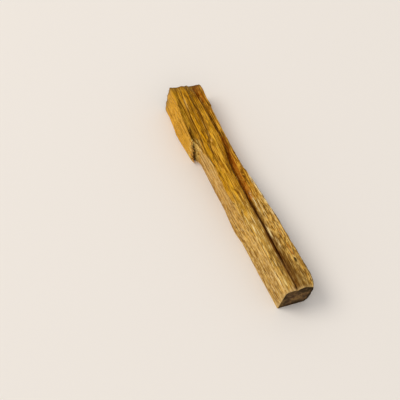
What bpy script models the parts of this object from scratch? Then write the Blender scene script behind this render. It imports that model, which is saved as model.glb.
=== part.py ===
"""A palo santo stick: a length of wood split from a small branch and sawn off at both ends.

It lies on its flat split underside. X runs along the grain, from the high end, where a lath
is still held to the left side, to the end that keeps the rounded outside of the branch.
The origin is on the surface under it, in the middle of its box. Metres, +Z up.
"""
import bpy
import bmesh
from mathutils import Vector, geometry, noise

MM = 0.001

# Driving dimensions, in millimetres: the length of the finished stick, and the length at which
# its lines are drawn
LENGTH = 100.0
DRAWN_LENGTH = 100.0

# The saw cuts: how far each stands in from the drawn end on the grain's axis, how it is skewed
# across the stick, how far the far one is undercut, and how much their edges are worn
FAR_CUT_INSET = 3.0
FAR_CUT_SKEW = 0.10
FAR_CUT_UNDERCUT = 0.19
NEAR_CUT_INSET = 0.2
NEAR_CUT_SKEW = 0.13
WORN_EDGE = 0.22
WORN_SHARE = 0.004

# The torn end of the lath: where it is, how far it wanders up and down in broad and in fine
# splinters, each with its own height, how abruptly the lath ends, and how far before that the
# cleft behind it closes
LATH_BREAK = -21.4
BREAK_WANDER = ((0.9, 2.2), (0.5, 0.6))
LATH_TEAR = 0.45
CLEFT_CLOSES = 1.4

# The low ridges that splitting leaves along the grain: height, the share of it left in the
# cleft and the groove, then width and length of the broad ones, how many times finer the ones
# on them are, and the height above the underside over which they fade in
RIDGE_HEIGHT = 0.36
NARROW_SHARE = 0.2
RIDGE_WIDTH = 1.9
RIDGE_LENGTH = 17.0
FINER = 2.2
FOOT_FADE = 0.8

# Distances between sections, which stand closer together where the lath is torn off
PLAIN_STEP = 1.5
FINE_STEP = 0.42
FINE_FROM = -24.5
FINE_TO = -19.0

# Points of a saw cut's outline that are nearer to each other than this are one point
OUTLINE_SNAP = 0.0001

# Lines along the stick that every section passes through: x, y, z in millimetres

# The body's left side, as it is behind the lath and beyond it
BODY_FOOT = [(-50, -7.0, 0), (-22, -7.3, 0), (-5, -7.2, 0), (9, -7.3, 0), (14, -7.5, 0), (19, -6.7, 0),
             (50, -6.4, 0)]
BODY_SIDE = [(-50, -6.9, 6), (-18, -7.2, 6), (0, -6.9, 6), (10, -6.8, 6), (25, -5.8, 6),
             (50, -5.0, 5.6)]
BODY_EDGE = [(-50, -6.3, 11.6), (-30, -7.6, 11.6), (-22, -7.7, 11.7), (-18, -7.1, 11.8),
             (-10, -6.2, 11.7), (0, -5.9, 11.6), (10, -5.1, 11.4), (20, -4.2, 11.2), (30, -3.6, 11.0),
             (50, -3.5, 10.7)]
BODY_CLEFT = [(-50, -6.0, 11.6), (-30, -7.3, 11.7), (-22, -7.4, 11.8), (-18, -6.8, 11.9),
              (-10, -5.9, 11.8), (0, -5.5, 11.8), (10, -4.8, 11.6), (20, -3.9, 11.5), (30, -3.3, 11.3),
              (50, -3.2, 11.1)]
BODY_CREST = [(-50, -5.6, 11.6), (-30, -6.9, 11.8), (-22, -7.0, 11.8), (-18, -6.5, 11.9),
              (-10, -5.6, 11.9), (0, -5.1, 11.8), (10, -4.5, 11.7), (20, -3.6, 11.6), (30, -3.0, 11.5),
              (50, -2.9, 11.4)]

# The lath, a strip torn loose on the left, with a cleft opening behind it towards its broken end
LATH_FOOT = [(-50, -9.2, 0), (-46, -9.6, 0), (-42, -10.1, 0), (-34, -10.4, 0), (-26, -10.0, 0),
             (-20, -9.4, 0)]
LATH_SIDE = [(-50, -8.4, 6), (-42, -9.1, 6), (-34, -9.7, 6), (-26, -9.6, 6), (-20, -9.3, 6)]
LATH_EDGE = [(-50, -6.8, 11.8), (-42, -7.0, 11.9), (-38, -7.4, 12.0), (-34, -7.9, 12.0),
             (-26, -8.3, 12.0), (-20, -8.6, 11.9)]
LATH_CLEFT = [(-50, -6.1, 11.8), (-40, -6.7, 11.6), (-34, -7.2, 11.3), (-30, -7.4, 10.8),
              (-26, -7.6, 9.8), (-20, -7.7, 8.4)]

# The top of the body: two shallow splits with a rib between them, then the back and the groove's lip
SPLIT_LEFT = [(-50, -3.2, 10.8), (-42, -3.8, 10.9), (-34, -4.5, 11.0), (-26, -4.9, 11.2),
              (-18, -5.5, 11.4), (-12, -5.2, 11.6), (-5, -4.6, 11.6), (0, -4.1, 11.6), (10, -3.9, 11.6),
              (20, -3.1, 11.7), (50, -2.4, 11.7)]
RIB = [(-50, -1.8, 10.9), (-34, -2.8, 11.5), (-26, -3.1, 11.7), (-18, -4.3, 11.8), (-8, -4.1, 11.9),
       (0, -3.4, 12.0), (10, -3.2, 12.0), (20, -2.5, 12.0), (50, -1.9, 12.0)]
SPLIT_RIGHT = [(-50, -0.1, 10.2), (-42, -0.5, 10.4), (-30, -0.9, 10.9), (-26, -1.2, 10.9),
               (-22, -2.1, 11.0), (-18, -3.1, 11.2), (-10, -3.3, 11.6), (0, -2.6, 11.9),
               (20, -1.8, 12.0), (50, -1.3, 12.1)]
BACK = [(-50, 0.2, 10.3), (-46, 0.5, 10.6), (-42, 0.9, 10.9), (-30, 0.9, 11.4), (-18, -0.5, 11.8),
        (-5, -1.2, 12.1), (25, -0.8, 12.1), (50, -0.6, 12.0)]
LIP = [(-50, 0.4, 10.1), (-46, 1.3, 10.2), (-42, 2.2, 10.4), (-34, 2.4, 10.7), (-22, 2.5, 10.9),
       (-18, 2.1, 11.0), (-14, 1.2, 11.1), (-10, 0.4, 11.2), (-5, 0.2, 11.3), (5, 0.6, 11.4),
       (25, 0.7, 11.5), (45, 0.7, 11.4), (50, 0.2, 11.1)]

# The groove, and the strip to the right of it with the branch's rounded outside
GROOVE = [(-49, 1.1, 9.6), (-46, 2.0, 8.3), (-42, 2.9, 6.8), (-30, 3.1, 6.2), (-18, 2.9, 6.4),
          (-14, 2.1, 7.0), (-8, 1.4, 7.8), (-2, 1.1, 8.1), (5, 1.1, 8.2), (30, 1.1, 8.0),
          (42, 1.1, 7.6), (50, 0.6, 7.2)]
LEDGE = [(-49, 1.9, 9.5), (-46, 3.2, 8.8), (-42, 4.0, 8.1), (-18, 3.9, 8.2), (-10, 3.6, 8.7),
         (-5, 3.2, 9.0), (0, 2.6, 9.5), (5, 2.0, 10.0), (15, 1.7, 10.6), (30, 1.6, 11.1),
         (50, 1.5, 11.6)]
CROWN = [(-49, 4.0, 9.1), (-42, 4.9, 8.4), (-18, 4.7, 8.5), (-5, 4.6, 9.3), (5, 4.3, 10.2),
         (15, 4.4, 11.0), (30, 4.5, 12.0), (50, 3.9, 12.6)]
RIGHT_EDGE = [(-49, 5.6, 8.6), (-42, 5.8, 8.2), (-26, 5.4, 8.1), (-14, 5.3, 8.4), (-5, 5.8, 8.9),
              (5, 6.6, 9.4), (15, 7.3, 10.0), (25, 7.7, 10.4), (40, 8.2, 10.8), (46, 8.4, 10.9),
              (50, 8.1, 10.8)]
BELLY = [(-50, 6.0, 4), (-14, 5.8, 4.5), (5, 7.2, 6), (25, 8.3, 7), (40, 8.7, 7.5), (46, 8.6, 7.6),
         (50, 8.1, 7.6)]
BELLY_LOW = [(-50, 5.9, 1.5), (-14, 5.6, 1.8), (5, 6.4, 2.4), (25, 7.2, 2.8), (40, 7.3, 2.8),
             (50, 6.6, 2.6)]
RIGHT_FOOT = [(-50, 5.4, 0), (-14, 5.0, 0), (5, 4.8, 0), (25, 4.6, 0), (40, 4.6, 0), (50, 4.4, 0)]

# A section in order: the line of the body, the same line on the lath, whether it is a sharp
# corner, how many faces reach to the next line, the share of the grain ridges on it, and how
# far before the lath's torn end it goes back to the body
SECTION = [
    (BODY_FOOT, LATH_FOOT, True, 7, 1.0, 0.0),
    (BODY_SIDE, LATH_SIDE, False, 7, 1.0, 0.0),
    (BODY_EDGE, LATH_EDGE, True, 2, 0.5, 0.0),
    (BODY_CLEFT, LATH_CLEFT, True, 2, NARROW_SHARE, CLEFT_CLOSES),
    (BODY_CREST, BODY_CREST, False, 3, 1.0, 0.0),
    (SPLIT_LEFT, SPLIT_LEFT, True, 3, 1.0, 0.0),
    (RIB, RIB, False, 3, 1.0, 0.0),
    (SPLIT_RIGHT, SPLIT_RIGHT, True, 3, 1.0, 0.0),
    (BACK, BACK, False, 3, 1.0, 0.0),
    (LIP, LIP, True, 3, 0.5, 0.0),
    (GROOVE, GROOVE, True, 3, NARROW_SHARE, 0.0),
    (LEDGE, LEDGE, True, 3, 0.5, 0.0),
    (CROWN, CROWN, False, 4, 1.0, 0.0),
    (RIGHT_EDGE, RIGHT_EDGE, True, 4, 1.0, 0.0),
    (BELLY, BELLY, False, 4, 1.0, 0.0),
    (BELLY_LOW, BELLY_LOW, False, 3, 1.0, 0.0),
    (RIGHT_FOOT, RIGHT_FOOT, True, 4, 1.0, 0.0),
]


def curve_at(before, start, end, after, t):
    """A point between start and end on the smooth curve that also heads for their neighbours."""
    leave = (end - before) * 0.5
    arrive = (after - start) * 0.5
    return (start * (2 * t**3 - 3 * t**2 + 1) + leave * (t**3 - 2 * t**2 + t)
            + end * (3 * t**2 - 2 * t**3) + arrive * (t**3 - t**2))


def line_at(line, x):
    """Where a line along the stick crosses the section at x, as (y, z)."""
    count = len(line)
    i = max((k for k in range(count - 1) if line[k][0] <= x), default=0)
    around = (line[max(i - 1, 0)], line[i], line[i + 1], line[min(i + 2, count - 1)])
    t = (x - line[i][0]) / (line[i + 1][0] - line[i][0])
    return curve_at(*(Vector(p[1:]) for p in around), min(max(t, 0.0), 1.0))


def cut_position(along, y, z):
    """The x of a point, where along is 0 on the far cut and 1 on the near cut: both are slanted."""
    far = -DRAWN_LENGTH / 2 + FAR_CUT_INSET + FAR_CUT_SKEW * y - FAR_CUT_UNDERCUT * z
    near = DRAWN_LENGTH / 2 - NEAR_CUT_INSET + NEAR_CUT_SKEW * y
    return far + (near - far) * along


def corner_at(line, along):
    """Where a line crosses the slanted section, as (y, z)."""
    point = line_at(line, cut_position(along, 0.0, 0.0))
    for _ in range(3):
        point = line_at(line, cut_position(along, point.x, point.y))
    return point


def section_at(along, on_lath):
    """The closed outline of the stick, with the lath or without it, as (y, z) points."""
    corners = [corner_at(lath if on_lath else body, along) for body, lath, *_ in SECTION]
    count = len(corners)
    outline = []
    for i, (_, _, sharp, faces, _, _) in enumerate(SECTION):
        start, end = corners[i], corners[(i + 1) % count]
        before = start * 2 - end if sharp else corners[i - 1]
        after = end * 2 - start if SECTION[(i + 1) % count][2] else corners[(i + 2) % count]
        for k in range(faces):
            outline.append(curve_at(before, start, end, after, k / faces))
    return outline


def section_habits():
    """For each point of an outline, its share of the ridges and how early it leaves the lath."""
    habits = []
    for i, (_, _, _, faces, ridged, closes) in enumerate(SECTION):
        _, _, _, _, next_ridged, next_closes = SECTION[(i + 1) % len(SECTION)]
        for k in range(faces):
            share = ridged + (next_ridged - ridged) * k / faces
            habits.append((share, max(closes, next_closes) if k else closes))
    return habits


def lath_left(x, z):
    """How much of the lath is still there: 1 before its torn end, 0 beyond it."""
    tear = LATH_BREAK
    for far, height in BREAK_WANDER:
        tear += far * noise.noise(Vector((far, 0.0, z / height)))
    t = min(max((tear - x) / LATH_TEAR + 0.5, 0.0), 1.0)
    return t * t * (3 - 2 * t)


def grain_ridge(x, z, place_around):
    """Height of the long low ridges that splitting leaves along the grain."""
    place = Vector((x / RIDGE_LENGTH, place_around / RIDGE_WIDTH, 0.5))
    fade = min(max(z / FOOT_FADE, 0.0), 1.0)
    return RIDGE_HEIGHT * fade * (noise.noise(place) + noise.noise(place * FINER) / FINER)


def ring_at(along, inset):
    """One section with its grain ridges, drawn in by inset where an end is worn: x, y, z points."""
    habits = section_habits()
    outline = []
    for plain, torn, habit in zip(section_at(along, False), section_at(along, True), habits):
        share = lath_left(cut_position(along, *plain) + habit[1], plain.y)
        outline.append(plain.lerp(torn, share))
    points = []
    for i, point in enumerate(outline):
        before, after = outline[i - 1], outline[(i + 1) % len(outline)]
        outward = Vector((before.y - after.y, after.x - before.x)).normalized()
        rise = habits[i][0] * grain_ridge(cut_position(along, *point), point.y, i) - inset
        y, z = point + outward * rise
        points.append((cut_position(along, y, max(z, 0.0)), y, max(z, 0.0)))
    return points


def stations():
    """Where the sections stand, as shares of the length, closer at the torn end of the lath."""
    places = [0.0, WORN_SHARE]
    x = -DRAWN_LENGTH / 2 + PLAIN_STEP
    while x < DRAWN_LENGTH / 2 - PLAIN_STEP:
        x += FINE_STEP if FINE_FROM < x < FINE_TO else PLAIN_STEP
        places.append((x + DRAWN_LENGTH / 2) / DRAWN_LENGTH)
    return places + [1.0 - WORN_SHARE, 1.0]


def close_end(shape, ring, facing):
    """The flat saw cut within a ring of vertices, facing 1 towards +X or -1 towards -X."""
    outline = [v.co.yz for v in ring]
    sides = [(i, (i + 1) % len(ring)) for i in range(len(ring))]
    _, _, faces, source, _, _ = geometry.delaunay_2d_cdt(outline, sides, [], 1, OUTLINE_SNAP)
    for face in faces:
        shape.faces.new([ring[source[i][0]] for i in face][::facing])


def build_stick(collection):
    """The whole stick as one closed solid, lofted through its sections."""
    mesh = bpy.data.meshes.new("palo_santo_stick")
    shape = bmesh.new()
    rings = []
    for along in stations():
        inset = WORN_EDGE if along in (0.0, 1.0) else 0.0
        ring = [shape.verts.new(p) for p in ring_at(along, inset)]
        rings.append(ring)
    for ring, following in zip(rings, rings[1:]):
        for i in range(len(ring)):
            j = (i + 1) % len(ring)
            shape.faces.new((ring[i], following[i], following[j], ring[j]))
    bmesh.ops.triangulate(shape, faces=shape.faces[:])
    close_end(shape, rings[0], -1)
    close_end(shape, rings[-1], 1)
    settle(shape)
    shape.to_mesh(mesh)
    shape.free()
    stick = bpy.data.objects.new("palo_santo_stick", mesh)
    collection.objects.link(stick)
    return stick


def settle(shape):
    """Brings the stick to its length in metres, its middle over the origin and its underside to z = 0."""
    low = Vector([min(v.co[k] for v in shape.verts) for k in range(3)])
    high = Vector([max(v.co[k] for v in shape.verts) for k in range(3)])
    shift = Vector((-(low.x + high.x) / 2, -(low.y + high.y) / 2, -low.z))
    size = LENGTH / (high.x - low.x) * MM
    bmesh.ops.translate(shape, verts=shape.verts[:], vec=shift)
    bmesh.ops.scale(shape, verts=shape.verts[:], vec=(size, size, size))


def wood():
    """Dry, oily heartwood: golden brown and half matt."""
    material = bpy.data.materials.new("palo_santo_wood")
    material.use_nodes = True
    surface = material.node_tree.nodes["Principled BSDF"]
    surface.inputs["Base Color"].default_value = (0.52, 0.27, 0.06, 1.0)
    surface.inputs["Roughness"].default_value = 0.6
    surface.inputs["Metallic"].default_value = 0.0
    return material


for old in list(bpy.data.objects):
    bpy.data.objects.remove(old)
stick_collection = bpy.data.collections.new("palo_santo_stick")
bpy.context.scene.collection.children.link(stick_collection)
palo_santo_stick = build_stick(stick_collection)
palo_santo_stick.data.materials.append(wood())
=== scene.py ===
"""The looks of a palo santo stick: fragrant golden wood, split from a small branch and sawn off."""

from math import cos, pi, radians, sin

import bmesh
import bpy
import numpy as np
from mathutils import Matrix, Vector, geometry


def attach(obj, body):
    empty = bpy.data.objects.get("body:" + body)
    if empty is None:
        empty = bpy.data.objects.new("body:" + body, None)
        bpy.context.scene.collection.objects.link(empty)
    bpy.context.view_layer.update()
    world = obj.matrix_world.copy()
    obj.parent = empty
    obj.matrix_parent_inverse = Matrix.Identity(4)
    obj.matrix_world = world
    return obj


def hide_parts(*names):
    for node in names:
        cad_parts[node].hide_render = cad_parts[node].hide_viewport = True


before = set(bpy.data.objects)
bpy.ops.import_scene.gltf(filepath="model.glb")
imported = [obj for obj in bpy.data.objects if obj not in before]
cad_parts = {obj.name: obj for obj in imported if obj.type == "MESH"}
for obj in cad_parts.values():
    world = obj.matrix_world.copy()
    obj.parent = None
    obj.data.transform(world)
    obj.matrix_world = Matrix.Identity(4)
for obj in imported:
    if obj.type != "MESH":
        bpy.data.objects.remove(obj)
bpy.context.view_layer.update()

# The stick
#
# A length of dry heartwood, as hard as a pencil and oily to the touch. It was split along the
# grain with a knife and mallet, so its faces show torn ridges, steps and cracks, and both of its
# ends were sawn. The lath on its left is still grown to it and is broken off short.

MM = 0.001

# The mesh: distance between its sections, how close they stand at the lath's break and at the
# worn edges of the saw cuts, and how many points go round each part of a section
SECTION_STEP = 0.58
BREAK_STEP = 0.13
BREAK_FROM = -24.8
BREAK_TO = -20.8
EDGE_PLACES = (0.01, 0.1, 0.22, 0.34)
POINTS_LEFT = 150
POINTS_RIGHT = 246
POINTS_UNDER = 46

# A saw cut: how squarely its faces look along the stick, how far out they lie, the spacing of
# the points inside its outline, and how near two of them may be before they are one
SAWN_FACING = 0.8
SAWN_FROM = 40.0
CUT_SPACING = 0.3
CUT_SNAP = 0.0001

# Facets are smoothed out this many times along and across the grain, but not at the torn end
# of the lath: its x, half its length, and the y that all of it lies left of
SMOOTH_ALONG = 3
SMOOTH_ACROSS = 4
TORN_X = -22.5
TORN_REACH = 2.2
TORN_LEFT_OF = -5.0

# The break isn't square: by y, how far along the grain it lies, and how many times its step is
# softened. Between the lath's outer edge and the body, its gap is painted in shade: its x and y,
# half its length, and half its width at two heights
TORN_SLANT_Y = (-9.2, -8.4, -7.8, -7.2, -6.5, -6.2)
TORN_SLANT = (0.5, 0.0, -1.1, -0.4, 0.3, 0.0)
TORN_SPREAD = 3
GAP_SHADE_AT = (-22.5, -7.65)
GAP_SHADE_LENGTH = 1.0
GAP_SHADE_HEIGHTS = (0.0, 10.0)
GAP_SHADE_WIDTH = (0.85, 0.4)

# The rib along the top of the body, where a section is divided: y at the middle, its slant, and
# the share of the height that it lies above. A foot is the lowest point of a side, where going
# outwards counts this much against going down
RIB_Y = -2.5
RIB_SLANT = 0.012
RIB_HIGH = 0.7
FOOT_LEAN = 0.35


def merged_copy(node):
    """A CAD node's mesh with its loose triangles joined."""
    solid = bmesh.new()
    solid.from_mesh(node.data)
    bmesh.ops.remove_doubles(solid, verts=solid.verts, dist=0.001 * MM)
    bmesh.ops.scale(solid, verts=solid.verts, vec=(1 / MM, 1 / MM, 1 / MM))
    solid.normal_update()
    return solid


def saw_cut(solid, side):
    """The saw cut at the far (-1) or near (1) end, as a, b and c in x = a + b y + c z."""
    faces = [f for f in solid.faces if f.normal.x * side > SAWN_FACING
             and f.calc_center_median().x * side > SAWN_FROM]
    area = sum(f.calc_area() for f in faces)
    normal = sum((f.normal * f.calc_area() for f in faces), Vector())
    middle = sum((f.calc_center_median() * f.calc_area() for f in faces), Vector()) / area
    b, c = -normal.y / normal.x, -normal.z / normal.x
    return middle.x - b * middle.y - c * middle.z, b, c


def section(solid, places, place):
    """The closed line round the solid at a place between its saw cuts, as x, y, z points."""
    def crosses(edge):
        a, b = edge.verts
        return (places[a.index] < place) != (places[b.index] < place)

    def crossing(edge):
        a, b = edge.verts
        share = (place - places[a.index]) / (places[b.index] - places[a.index])
        return a.co.lerp(b.co, share)

    start = max((e for e in solid.edges if crosses(e)), key=lambda e: crossing(e).z)
    edge, face, line = start, start.link_faces[0], []
    while edge is not start or not line:
        line.append(crossing(edge))
        edge = next(e for e in face.edges if e is not edge and crosses(e))
        face = next(f for f in edge.link_faces if f is not face)
    line = np.array(line)
    turned = np.roll(line, -1, axis=0)
    area = np.sum(line[:, 1] * turned[:, 2] - line[:, 2] * turned[:, 1])
    return line if area < 0 else line[::-1]


def spaced(line, count):
    """Points evenly spaced along an open line: its start, but not its end."""
    steps = np.linalg.norm(np.diff(line, axis=0), axis=1)
    run = np.concatenate([[0.0], np.cumsum(steps)])
    places = np.linspace(0.0, run[-1], count + 1)[:-1]
    return np.column_stack([np.interp(places, run, line[:, k]) for k in range(3)])


def ring(line):
    """A section's points, from the left foot over the top to the right foot and back below."""
    left = np.argmax(-FOOT_LEAN * line[:, 1] - line[:, 2])
    line = np.roll(line, -left, axis=0)
    right = np.argmax(FOOT_LEAN * line[:, 1] - line[:, 2])
    rib = RIB_Y + RIB_SLANT * line[:, 0]
    top = np.max(line[:, 2])
    after = next(i for i in range(1, right)
                 if line[i, 1] > rib[i] and line[i, 2] > RIB_HIGH * top)
    gap = rib - line[:, 1]
    share = gap[after - 1] / (gap[after - 1] - gap[after])
    middle = line[after - 1] + (line[after] - line[after - 1]) * share
    return np.concatenate([
        spaced(np.vstack([line[:after], middle]), POINTS_LEFT),
        spaced(np.vstack([middle, line[after:right + 1]]), POINTS_RIGHT),
        spaced(np.vstack([line[right:], line[:1]]), POINTS_UNDER),
    ])


def section_places(length):
    """Where the sections stand, as shares of the length."""
    ends = [p / length for p in EDGE_PLACES]
    places, x = [], -length / 2 + EDGE_PLACES[-1]
    while x < length / 2 - 2 * SECTION_STEP:
        x += BREAK_STEP if BREAK_FROM < x < BREAK_TO else SECTION_STEP
        places.append(x / length + 0.5)
    return ends + places + [1.0 - p for p in reversed(ends)]


def smoothed(rings, times, axis):
    """The rings with each point drawn towards its two neighbours, along or across the grain."""
    for _ in range(times):
        if axis == 0:
            inner = (rings[:-2] + 2 * rings[1:-1] + rings[2:]) / 4
            rings = np.concatenate([rings[:1], inner, rings[-1:]])
        else:
            rings = (np.roll(rings, 1, 1) + 2 * rings + np.roll(rings, -1, 1)) / 4
    return rings


def cut_face(outline, cut):
    """The points inside a saw cut's outline, and the triangles that close it."""
    low, high = outline[:, 1:].min(0), outline[:, 1:].max(0)
    inside = np.array([(y, z) for y in np.arange(low[0], high[0], CUT_SPACING)
                       for z in np.arange(low[1] + CUT_SPACING / 2, high[1], CUT_SPACING)])
    gaps = np.linalg.norm(inside[:, None] - outline[None, :, 1:], axis=2).min(axis=1)
    points = [Vector(p) for p in [*outline[:, 1:], *inside[gaps > CUT_SPACING / 2]]]
    edges = [(i, (i + 1) % len(outline)) for i in range(len(outline))]
    _, _, faces, source, _, _ = geometry.delaunay_2d_cdt(points, edges, [], 1, CUT_SNAP)
    corners = [[min(source[i]) for i in face] for face in faces]
    used = sorted({i for face in corners for i in face if i >= len(outline)})
    renamed = {i: i for i in range(len(outline))} | {i: len(outline) + k for k, i in enumerate(used)}
    added = [(cut[0] + cut[1] * points[i].x + cut[2] * points[i].y, *points[i]) for i in used]
    return np.array(added), [[renamed[i] for i in face] for face in corners]


solid = merged_copy(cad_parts["palo_santo_stick"])
far_cut, near_cut = saw_cut(solid, -1), saw_cut(solid, 1)
solid_points = np.array([v.co for v in solid.verts])
far_x = far_cut[0] + solid_points[:, 1:] @ far_cut[1:]
near_x = near_cut[0] + solid_points[:, 1:] @ near_cut[1:]
solid.verts.index_update()
solid_places = ((solid_points[:, 0] - far_x) / (near_x - far_x)).tolist()
length = solid_points[:, 0].max() - solid_points[:, 0].min()
rings = np.array([ring(section(solid, solid_places, p)) for p in section_places(length)])
solid.free()

plain = smoothed(smoothed(rings, SMOOTH_ALONG, 0), SMOOTH_ACROSS, 1)
torn = np.exp(-((rings[..., 0] - TORN_X) / TORN_REACH) ** 4) * (rings[..., 1] < TORN_LEFT_OF)
rings = plain + (smoothed(rings, TORN_SPREAD, 0) - plain) * torn[..., None]
rings[..., 0] += torn * np.interp(rings[..., 1], TORN_SLANT_Y, TORN_SLANT)
rings[..., 2] = np.maximum(rings[..., 2], 0.0)

# The groove right of the body has its bottom between these y. An edge of it is the highest point
# beside it, where going outwards counts this much against going up
GROOVE_FROM = 0.5
GROOVE_TO = 5.0
GROOVE_EDGE_LEAN = 0.5

# It runs out towards the near end, where little of its depth is left: x, the share of the depth
# that is left there, and how many times the lift is evened out along the grain
GROOVE_RUNS_OUT = (4.0, 30.0, 50.0)
GROOVE_LEFT = (1.0, 0.45, 0.2)
GROOVE_EVENED = 60

# It lies a little more to the left or right than the solid's: at which x, by how much, and over
# what half width
GROOVE_SHIFT_X = (-46.0, -41.0, -25.0, -17.0, 20.0, 36.0, 48.0)
GROOVE_SHIFT_Y = (0.0, -0.35, -0.35, 0.0, 0.0, -0.2, 0.5)
GROOVE_SHIFT_REACH = 1.8

rows, columns = rings.shape[:2]
column = np.arange(columns)
on_top = (column > POINTS_LEFT) & (column < POINTS_LEFT + POINTS_RIGHT)
in_groove = (rings[..., 1] > GROOVE_FROM) & (rings[..., 1] < GROOVE_TO) & on_top
bottom = np.argmin(np.where(in_groove, rings[..., 2], np.inf), axis=1)
raised = np.zeros((rows, columns))
for line, low, lift in zip(rings, bottom, raised):
    before, after = line[POINTS_LEFT:low], line[low:POINTS_LEFT + POINTS_RIGHT]
    first = POINTS_LEFT + np.argmax(before[:, 2] + GROOVE_EDGE_LEAN * before[:, 1])
    end = low + np.argmax(after[:, 2] - GROOVE_EDGE_LEAN * after[:, 1])
    depth_left = np.interp(line[low, 0], GROOVE_RUNS_OUT, GROOVE_LEFT)
    lid = np.interp(line[first:end, 1], line[[first, end], 1], line[[first, end], 2])
    lift[first:end] = (lid - line[first:end, 2]) * (1.0 - depth_left)
    shift = np.interp(line[low, 0], GROOVE_SHIFT_X, GROOVE_SHIFT_Y)
    shifting = np.exp(-((line[:, 1] - line[low, 1]) / GROOVE_SHIFT_REACH) ** 2) * on_top
    line[:, 1] += shift * shifting
rings[..., 2] += smoothed(raised, GROOVE_EVENED, 0)

# The outline from above, trued by a few tenths of a millimetre: at which x, by how much the left
# and the right side move, and the y where that begins and is whole
LEFT_X = (-47.0, -44.0, -40.0, -36.0, -23.0, -19.0, 4.0, 10.0)
LEFT_MOVE = (0.0, 0.45, 0.45, 0.1, 0.1, 0.45, 0.45, 0.0)
LEFT_Y = (-5.0, -7.0)
RIGHT_X = (-46.0, -42.0, -34.0, -26.0, -18.0, -8.0, 2.0)
RIGHT_MOVE = (0.2, -0.35, -0.2, 0.2, 0.0, -0.4, 0.0)
RIGHT_Y = (4.4, 6.4)
for along, move, (start, whole) in ((LEFT_X, LEFT_MOVE, LEFT_Y), (RIGHT_X, RIGHT_MOVE, RIGHT_Y)):
    outwards = np.clip((rings[..., 1] - start) / (whole - start), 0.0, 1.0)
    rings[..., 1] += np.interp(rings[..., 0], along, move) * outwards

# The near end's right-hand corner is worn back: from which x and y on, over what y, and how far
WORN_CORNER = (46.5, 3.0)
CORNER_REACH = 5.0
CORNER_WEAR = 0.8
wear = np.clip((rings[..., 0] - WORN_CORNER[0]) / (length / 2 - WORN_CORNER[0]), 0.0, 1.0) ** 2
wear = wear * np.clip((rings[..., 1] - WORN_CORNER[1]) / CORNER_REACH, 0.0, 1.0) * CORNER_WEAR
rings[..., 1] -= wear
rings[..., 0] -= wear * near_cut[1]

# Cracks that opened along the grain of the upper side: x, y points in millimetres, half width
# and depth. They run out over a taper, and are painted in shade, darkest from a certain depth on
CRACKS = (
    ([(-48.8, 0.1), (-44.7, -0.1), (-41.1, 0.1), (-33.3, 0.4), (-28.2, -0.3), (-24.0, -1.0),
      (-21.3, -1.3), (-19.0, -2.1), (-15.1, -2.4), (-10.5, -2.4)], 0.48, 0.5),
    ([(-48.0, -2.1), (-44.2, -2.7), (-37.4, -3.2), (-32.9, -3.6), (-26.2, -3.9), (-21.7, -4.2),
      (-15.1, -4.8), (-10.0, -4.4)], 0.46, 0.45),
    ([(-31.0, -5.9), (-27.5, -6.4), (-25.3, -6.6), (-22.4, -7.3)], 0.36, 0.45),
    ([(-9.4, -3.7), (-6.1, -3.5), (1.8, -3.1), (5.2, -2.9), (10.2, -3.1), (14.0, -3.3)], 0.34, 0.3),
    ([(-12.5, -4.1), (-9.0, -4.0)], 0.34, 0.4),
    ([(8.9, 5.6), (16.4, 5.3)], 0.36, 0.45),
    ([(7.6, 4.3), (13.5, 4.2)], 0.30, 0.3),
    ([(24.5, 5.6), (32.0, 5.5)], 0.32, 0.35),
    ([(-17.4, -1.5), (-16.0, -1.5)], 0.42, 0.5),
)
CRACK_TAPER = 2.0
DARK_DEPTH = 0.45

# Colour that lies along the grain: x, y points in millimetres, half width and strength
OLIVE_STAINS_AND_SHADE = (
    ([(-49.5, 1.2), (-43.9, 0.7), (-40.0, 0.2), (-37.0, 0.1)], 1.1, 1.0),
    # The facet beside the crest: olive, darkened further as painted shade
    ([(-50.5, -4.1), (-42.0, -4.9), (-34.0, -5.6), (-27.0, -6.2), (-21.0, -6.7)], 1.7, 1.0),
    ([(34.0, 6.9), (37.4, 6.5), (41.0, 6.3)], 1.3, 0.4),
)
RED_STAINS = (
    ([(-24.0, 4.3), (-16.0, 3.9), (-8.0, 3.4), (0.0, 3.0), (8.0, 3.0)], 1.9, 1.0),
    ([(-54.0, 4.5), (-46.0, 5.4), (-40.0, 5.6)], 3.4, 0.9),
    ([(22.0, 6.5), (26.5, 6.4)], 0.5, 0.8),
    ([(29.5, 6.5), (36.5, 6.8)], 0.5, 0.8),
)
BROWN_STAINS_AND_SHADOW = (
    ([(22.0, 2.4), (34.0, 2.6), (40.0, 3.4), (44.0, 4.2), (53.0, 4.2)], 2.9, 1.0),
    ([(38.0, 5.9), (44.0, 6.2), (53.0, 6.2)], 2.0, 0.6),
    # A painted shadow on the strip
    ([(-26.5, 5.4), (-15.5, 5.2)], 1.3, 0.45),
)
GOLD_STAINS = (
    ([(-27.0, 1.4), (-18.0, 0.2), (-10.0, -1.5), (4.0, -1.2), (16.0, -1.0)], 3.2, 1.0),
    ([(-48.0, 5.6), (-40.0, 6.1), (-20.0, 5.7), (-8.0, 5.6)], 1.3, 0.8),
    ([(-40.0, 1.8), (-30.0, 2.0), (-20.0, 1.8)], 1.2, 0.7),
)
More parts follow.
